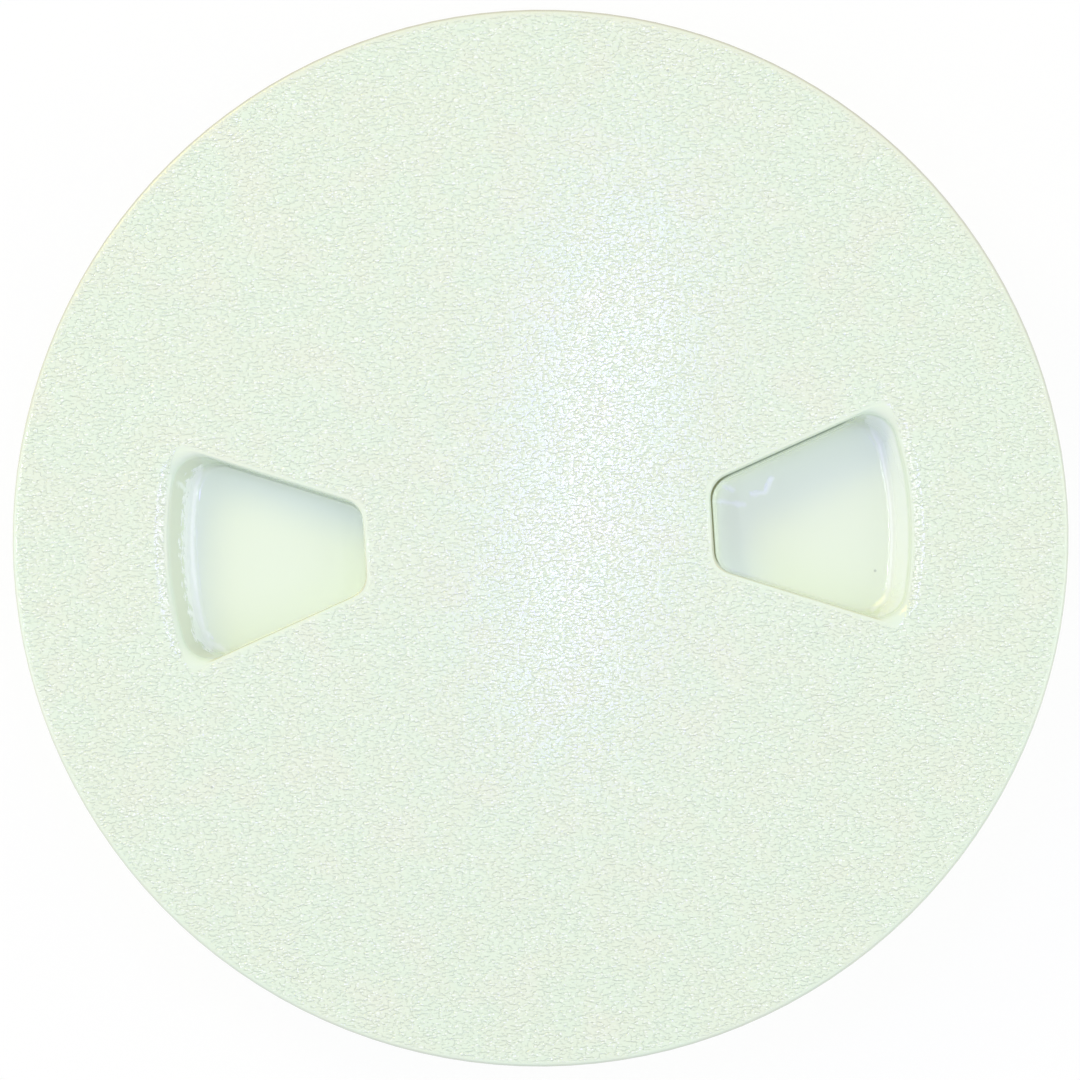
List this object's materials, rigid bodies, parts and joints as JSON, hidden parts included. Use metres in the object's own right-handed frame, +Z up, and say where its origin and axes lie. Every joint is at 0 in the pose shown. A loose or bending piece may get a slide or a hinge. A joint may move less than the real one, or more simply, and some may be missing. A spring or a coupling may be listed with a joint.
{
  "type": "deck inspection plate",
  "caption": "Round screw-in deck inspection plate: a grained lid with finger wells, a threaded mounting ring under it and a rubber seal between them.",
  "frame": {"origin": "centre of the circle of deck screws, on the deck's surface, at the underside of the ring's flange", "axes": "+Z up out of the deck along the screw axis of the lid; +X through the middle of one finger well"},
  "size_m": [0.143, 0.143, 0.0216],
  "materials": {
    "lid_plastic": "pale greenish white moulded plastic, fine pebble grain on top, smooth in the wells",
    "ring_plastic": "pale greenish white moulded plastic, smooth satin",
    "seal_rubber": "black moulded rubber, satin"
  },
  "bodies": {
    "ring": {"mounting_ring": "ring_plastic"},
    "seal": {"o_ring": "seal_rubber"},
    "lid": {"cover": "lid_plastic"}
  },
  "joints": [
    {"name": "lid_lift", "type": "slide", "parent": "ring", "child": "seal", "axis": [0, 0, 1], "range_m": [0, 0.0188]},
    {"name": "lid_turn", "type": "hinge", "parent": "seal", "child": "lid", "pos_m": [0, 0, 0], "axis": [0, 0, 1], "range_deg": [0, 1350]}
  ],
  "couplings": [
    {"joint": "lid_lift", "follows": "lid_turn", "m_per_rad": 0.00079577}
  ]
}
